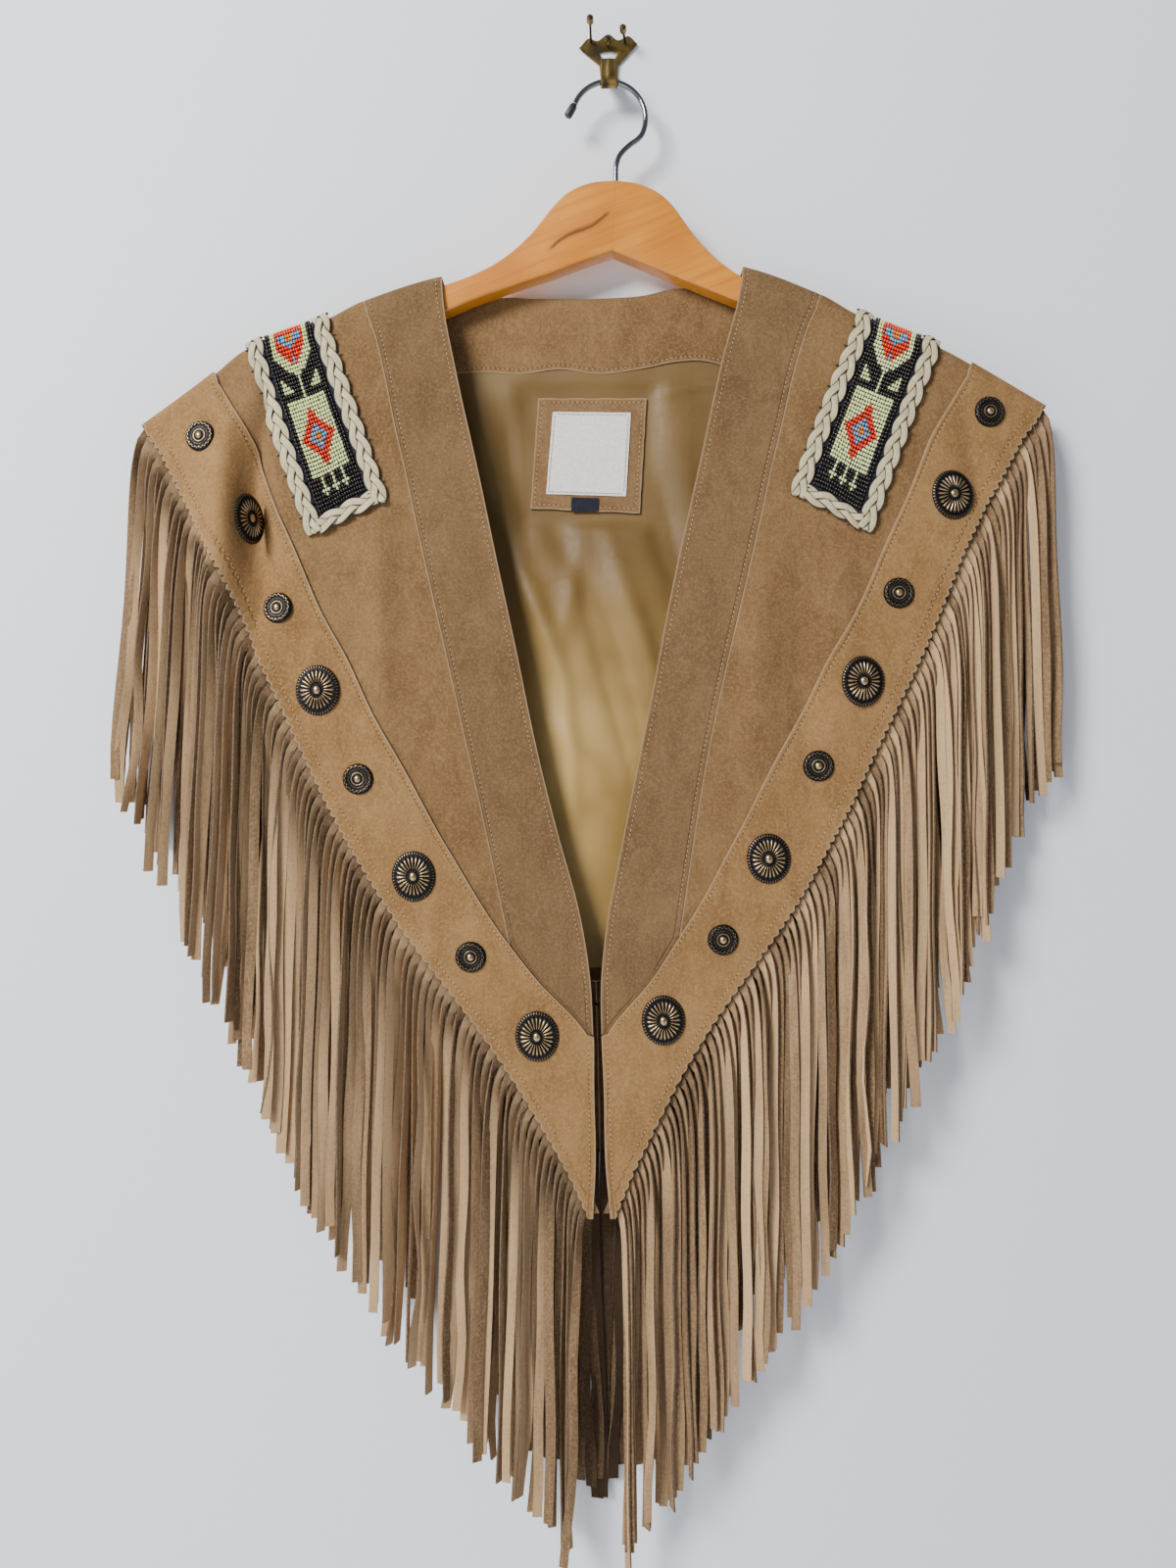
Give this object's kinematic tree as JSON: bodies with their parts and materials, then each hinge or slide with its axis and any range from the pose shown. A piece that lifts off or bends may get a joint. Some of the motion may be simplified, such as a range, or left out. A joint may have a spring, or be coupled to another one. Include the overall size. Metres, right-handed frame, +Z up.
{
  "type": "fringed suede shrug on a wooden hanger",
  "caption": "Pointed suede shrug with open front, beaded shoulder trim, metal conchos and long fringe, on a two-part wooden hanger held by a brass wall hook.",
  "frame": {"origin": "on the wall, at the back of the brass hook's plate, which holds the hanger", "axes": "+X to the viewer's right, +Y back into the wall, +Z up; the fronts face -Y"},
  "size_m": [0.5872, 0.0429, 0.9631],
  "materials": {
    "suede": "napped suede, medium brown",
    "light_suede": "napped suede, golden tan",
    "fringe": "cut suede strips",
    "satin": "khaki gold satin",
    "woven_label": "plain woven label",
    "navy": "dark felt",
    "beads": "small opaque glass beads",
    "braid": "cream leather plait",
    "concho": "antiqued dark metal",
    "wood": "clear lacquered wood",
    "chrome": "polished wire",
    "cap": "dark tip",
    "brass": "aged stamped brass"
  },
  "bodies": {
    "root": {"front_band_left": "suede", "front_panel_left": "suede", "hem_band_front_left": "light_suede", "hem_band_back_left": "light_suede", "fringe_front_left": "fringe", "fringe_back_left": "fringe", "trim_felt_left": "navy", "trim_beads_left": "beads", "trim_braid_left": "braid", "concho_left_1": "concho", "concho_left_2": "concho", "concho_left_3": "concho", "concho_left_4": "concho", "concho_left_5": "concho", "concho_left_6": "concho", "concho_left_7": "concho", "concho_left_8": "concho", "hanger_left": "wood", "front_band_right": "suede", "front_panel_right": "suede", "hem_band_front_right": "light_suede", "hem_band_back_right": "light_suede", "fringe_front_right": "fringe", "fringe_back_right": "fringe", "trim_felt_right": "navy", "trim_beads_right": "beads", "trim_braid_right": "braid", "concho_right_1": "concho", "concho_right_2": "concho", "concho_right_3": "concho", "concho_right_4": "concho", "concho_right_5": "concho", "concho_right_6": "concho", "concho_right_7": "concho", "concho_right_8": "concho", "hanger_right": "wood", "back_panel": "suede", "back_neck_facing": "suede", "back_lining": "satin", "label_patch": "suede", "woven_label": "woven_label", "size_tab": "navy", "closure_hook": "chrome", "closure_eye": "chrome", "hanger_hook": "chrome", "hook_cap": "cap", "wall_hook": "brass", "nail_left": "brass", "nail_middle": "brass", "nail_right": "brass"}
  },
  "joints": []
}
